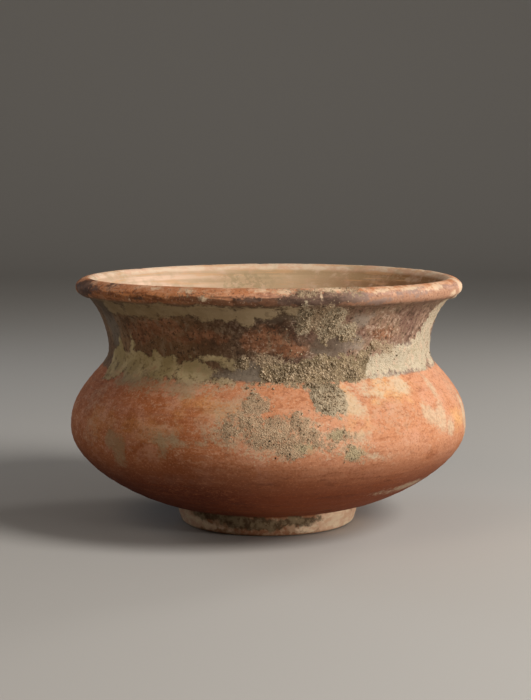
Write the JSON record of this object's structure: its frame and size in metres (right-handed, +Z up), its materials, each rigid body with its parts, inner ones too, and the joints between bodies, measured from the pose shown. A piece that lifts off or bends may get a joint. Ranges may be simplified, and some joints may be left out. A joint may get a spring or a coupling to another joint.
{
  "type": "terracotta bowl",
  "caption": "Squat wheel-thrown terracotta bowl with a ring foot, a full belly, a hollow flaring neck and a thick rolled lip, weathered and crusted with dried soil.",
  "frame": {"origin": "centre of the bounding box's underside, on the surface that the foot stands on, under the middle of the belly", "axes": "+Z up along the throwing axis, +X to the right and -Y towards the side with the soil crust"},
  "size_m": [0.22, 0.22, 0.1378],
  "materials": {
    "terracotta": "matt unglazed fired clay, worn smooth in places, with dried soil and dark staining on the neck"
  },
  "bodies": {
    "root": {"bowl": "terracotta"}
  },
  "joints": []
}
